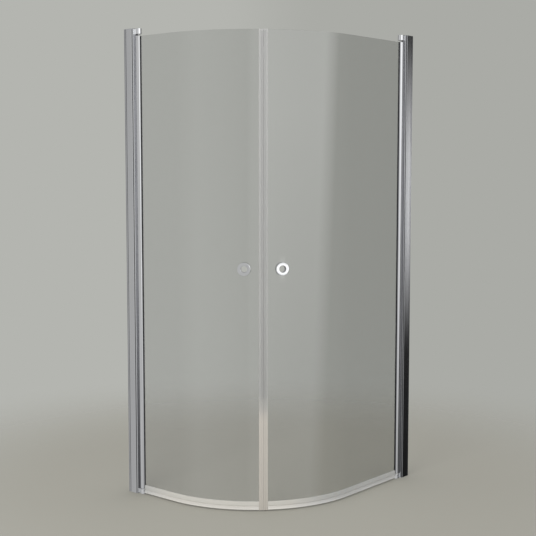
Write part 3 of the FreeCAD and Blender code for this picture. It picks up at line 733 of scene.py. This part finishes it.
def pivot_block(bottom, top, bore, closed, tongue):
    """A turned barrel on the hinge line with a rounded rim and a fine groove, on its tongue."""
    off, band, depth = BARREL_GROOVE
    groove = (bottom + top) / 2 + (off if closed == top else -off)
    half = section((BARREL_BORE, bottom), (BARREL_RADIUS, top))
    bisect(half, height=bore)
    draw_out(half, lambda middle, along: middle.x < BARREL_BORE + NEAR
             and (middle.z - bore) * (closed - bore) > 0, -BARREL_BORE, 0)
    round_corners(half, BARREL_RIM, lambda place, normal: place.x > BARREL_RADIUS - NEAR)
    for height in (groove - band, groove, groove + band):
        bisect(half, height=height)
    pick(half, "VERT", lambda place, normal: place.x > BARREL_RADIUS - NEAR
         and abs(place.z - groove) < NEAR)
    bpy.ops.transform.translate(value=(-depth * MM, 0, 0))
    done()
    barrel = turn(half, steps=72)
    barrel.data.transform(Matrix.Translation((HINGE_S * MM, 0, 0)))
    start, end, width = NECK
    neck = box((start, -width, bottom + 0.5), (end, width, min(top, CAP_FOOT) - 0.5))
    start, end, width = TONGUE
    root = box((start, -width, tongue[0]), (end, width, tongue[1]))
    return combine(barrel, [combine(neck, [root], "UNION")], "UNION")


def pivot_blocks():
    upper = pivot_block(bottom=1976, top=TOP, bore=1991, closed=TOP, tongue=(1960, CAP_FOOT))
    on_both_sides(upper, "top_pivot_block_turned", "top_pivot_block", "chrome")
    lower = pivot_block(bottom=0, top=21, bore=6, closed=0, tongue=(0, 37))
    on_both_sides(lower, "bottom_pivot_block_turned", "bottom_pivot_block", "chrome")


def profile_caps():
    """A thin plate over both profiles, with a plug in the wall profile."""
    plate = box((0, -PROFILE_HALF, CAP_FOOT), (PROFILE_REACH, PROFILE_HALF, TOP))
    tab = box((CAP_TAB[0], -ADJUSTING_HALF, CAP_FOOT), (CAP_TAB[1], ADJUSTING_HALF, TOP))
    start, end, width, depth = CAP_PLUG
    plug = box((start, -width, CAP_FOOT - depth), (end, width, CAP_FOOT + 0.5))
    combine(plate, [tab, plug], "UNION")
    round_edges(plate, CAP_EDGE, lambda middle, along: middle.z > TOP - NEAR and middle.x > NEAR)
    on_both_sides(plate, "profile_cap_rounded", "profile_cap", "chromed_plastic")


def screw(head_radius, head_height, shank_radius, length):
    """A pan-head screw on the Z axis, head up, with a cross recess and a pointed end."""
    half = section((0, 0), (head_radius, head_height))
    bisect(half, radius=shank_radius)
    draw_out(half, lambda middle, along: middle.z < NEAR and middle.x < shank_radius, 0, -length)
    round_corners(half, (head_height * 0.8, 4), lambda place, normal: place.x > shank_radius + NEAR
                  and place.z > NEAR)
    round_corners(half, (shank_radius * 0.7, 1), lambda place, normal: place.z < -NEAR
                  and place.x > NEAR)
    arm, floor = head_radius * 0.55, head_height * 0.45
    slots = [box((-arm, -SLOT_HALF, floor), (arm, SLOT_HALF, head_height + PAST)) for _ in range(2)]
    slots[1].data.transform(Matrix.Rotation(math.pi / 2, 4, "Z"))
    return combine(turn(half, steps=32), [combine(slots[0], slots[1:], "UNION")], "DIFFERENCE")


def screw_cover():
    """A domed cup on the Z axis with a notch in its rim to prise it off by."""
    half = section((0, COVER_HOLLOW), (COVER_RADIUS, COVER_HEIGHT))
    bisect(half, radius=COVER_INSIDE)
    draw_out(half, lambda middle, along: middle.z < COVER_HOLLOW + NEAR and middle.x > COVER_INSIDE,
             0, -COVER_HOLLOW)
    round_corners(half, COVER_RIM, lambda place, normal: place.x > COVER_RADIUS - NEAR
                  and place.z > COVER_HEIGHT - NEAR)
    notch = box((COVER_INSIDE + 0.1, -NOTCH_HALF, -0.1), (COVER_RADIUS + 0.5, NOTCH_HALF, NOTCH_HEIGHT))
    return combine(turn(half, steps=48), [notch], "DIFFERENCE")


def screws_and_covers():
    lock_places = [across(LOCK_SCREW_S, z, -PROFILE_HALF) for z in LOCK_SCREW_HEIGHTS]
    block_places = [across(BLOCK_SCREW_S, z, -PROFILE_HALF) for z in BLOCK_SCREW_HEIGHTS]
    on_both_sides(spaced(screw(*LOCK_SCREW), lock_places), "adjusting_screws_crossed",
                  "adjusting_screws", "stainless_steel")
    on_both_sides(spaced(screw(*BLOCK_SCREW), block_places), "pivot_block_screws_crossed",
                  "pivot_block_screws", "stainless_steel")
    on_both_sides(spaced(screw_cover(), lock_places), "screw_covers_domed", "screw_covers",
                  "chromed_plastic")


def hump(tree, value, middle, inner, outer):
    """1 near the middle of a value, easing down to 0 at an outer distance from it."""
    away = maths(tree, "ABSOLUTE", maths(tree, "SUBTRACT", value, middle))
    return remap(tree, away, (inner, outer), (1.0, 0.0), smooth=True)


def studio_level(tree, direction):
    """How bright the studio is in a direction: stops round the room, dimming, patches and poles."""
    along = add(tree, "ShaderNodeSeparateXYZ", {0: direction})
    height = along.outputs["Z"]
    radians = maths(tree, "ARCTAN2", along.outputs["Y"], along.outputs["X"])
    heading = maths(tree, "MULTIPLY", radians, 180 / math.pi)
    lean = maths(tree, "MULTIPLY", hump(tree, heading, *LEAN_ZONE), height)
    leaned = maths(tree, "MULTIPLY_ADD", lean, -LEAN, heading)
    ramp = add(tree, "ShaderNodeValToRGB", {0: remap(tree, leaned, (-180.0, 180.0))})
    ramp.color_ramp.elements.remove(ramp.color_ramp.elements[1])
    for index, (turned, level) in enumerate(STUDIO):
        place = (turned + 180) / 360
        stop = ramp.color_ramp.elements[0] if index == 0 else ramp.color_ramp.elements.new(place)
        stop.position = place
        stop.color = (level, level, level, 1)
    fall = remap(tree, height, FALL_HEIGHTS, FALL_LEVELS)
    dim = blend(tree, remap(tree, heading, FALL_ZONE), 1.0, fall, "FLOAT")
    total = maths(tree, "MULTIPLY", ramp.outputs[0], dim)
    for across_it, up_it, brightness in PATCHES:
        shape = maths(tree, "MULTIPLY", hump(tree, heading, *across_it), hump(tree, height, *up_it))
        total = maths(tree, "MULTIPLY_ADD", shape, brightness, total)
    return blend(tree, hump(tree, height, 0.0, *POLES), POLE_LEVEL, total, "FLOAT")


def backdrop_colour(tree, direction):
    """The two tones of the backdrop, with a soft step behind the meeting line of the doors."""
    beside = (math.cos(math.radians(BACKDROP_BESIDE)), math.sin(math.radians(BACKDROP_BESIDE)), 0)
    offset = add(tree, "ShaderNodeVectorMath", {0: direction, 1: beside}, operation="DOT_PRODUCT")
    share = remap(tree, offset.outputs["Value"], (-BACKDROP_BLEND, BACKDROP_BLEND), smooth=True)
    return blend(tree, share, linear(BACKDROP_BRIGHT), linear(BACKDROP_DIM))


def light_world():
    """Flat backdrop for the eye, plain light for dull surfaces, soft studio for mirrors."""
    world = bpy.data.worlds.new("studio")
    world.use_nodes = True
    bpy.context.scene.world = world
    tree = world.node_tree
    tree.nodes.clear()
    path = add(tree, "ShaderNodeLightPath").outputs
    direction = add(tree, "ShaderNodeTexCoord").outputs["Generated"]
    studio, plain, backdrop = [
        add(tree, "ShaderNodeBackground", {"Color": colour, "Strength": 1.0}).outputs[0]
        for colour in (studio_level(tree, direction), (PLAIN, PLAIN, PLAIN, 1),
                       backdrop_colour(tree, direction))]
    seen = maths(tree, "MAXIMUM", path["Is Camera Ray"], path["Is Transmission Ray"])
    lit = add(tree, "ShaderNodeMixShader", {0: path["Is Glossy Ray"], 1: plain, 2: studio}).outputs[0]
    mixed = add(tree, "ShaderNodeMixShader", {0: seen, 1: lit, 2: backdrop}).outputs[0]
    add(tree, "ShaderNodeOutputWorld", {"Surface": mixed})


def make_floor():
    """A pale floor that keeps the shadow near the object and runs into the backdrop further out."""
    bpy.ops.mesh.primitive_circle_add(vertices=128, radius=FLOOR_RADIUS, fill_type="NGON")
    floor = bpy.context.object
    floor.name = "floor"
    material = bpy.data.materials.new("pale_floor")
    material.use_nodes = True
    tree = material.node_tree
    tree.nodes.clear()
    place = add(tree, "ShaderNodeTexCoord").outputs["Object"]
    near = add(tree, "ShaderNodeBsdfPrincipled", {"Base Color": linear(FLOOR), "Roughness": 0.8})
    far = add(tree, "ShaderNodeBsdfTransparent")
    distance = add(tree, "ShaderNodeVectorMath", {0: place}, operation="LENGTH")
    share = remap(tree, distance.outputs["Value"], FLOOR_FADE, smooth=True)
    mixed = add(tree, "ShaderNodeMixShader", {0: share, 1: near.outputs[0], 2: far.outputs[0]})
    add(tree, "ShaderNodeOutputMaterial", {"Surface": mixed.outputs[0]})
    floor.data.materials.append(material)
    floor.visible_glossy = False


def make_lamp():
    data = bpy.data.lights.new("key", "AREA")
    data.shape = "SQUARE"
    data.size = LAMP_SIZE
    data.energy = LAMP_POWER
    lamp = bpy.data.objects.new("key", data)
    bpy.context.collection.objects.link(lamp)
    lamp.location = LAMP_PLACE
    lamp.rotation_euler = (Vector(LAMP_AIM) - Vector(LAMP_PLACE)).to_track_quat("-Z", "Y").to_euler()
    lamp.visible_glossy = False
    lamp.visible_transmission = False


def make_camera():
    data = bpy.data.cameras.new("camera")
    data.lens = LENS_MM
    data.sensor_width = SENSOR_MM
    camera = bpy.data.objects.new("camera", data)
    bpy.context.collection.objects.link(camera)
    camera.location = CAMERA_PLACE
    camera.rotation_euler = (math.radians(90 + CAMERA_TILT), 0, math.radians(CAMERA_HEADING))
    bpy.context.scene.camera = camera


bpy.context.scene.view_settings.view_transform = "Standard"
bpy.ops.object.select_all(action="DESELECT")
make_camera()
light_world()
make_floor()
make_lamp()
dress_frame()
ring_handles()
magnetic_strips()
bottom_seals()
grooved_profiles("wall_profile", PROFILE_HALF, WALL_GROOVES)
grooved_profiles("adjusting_profile", ADJUSTING_HALF, ADJUSTING_GROOVES)
pivot_blocks()
profile_caps()
screws_and_covers()
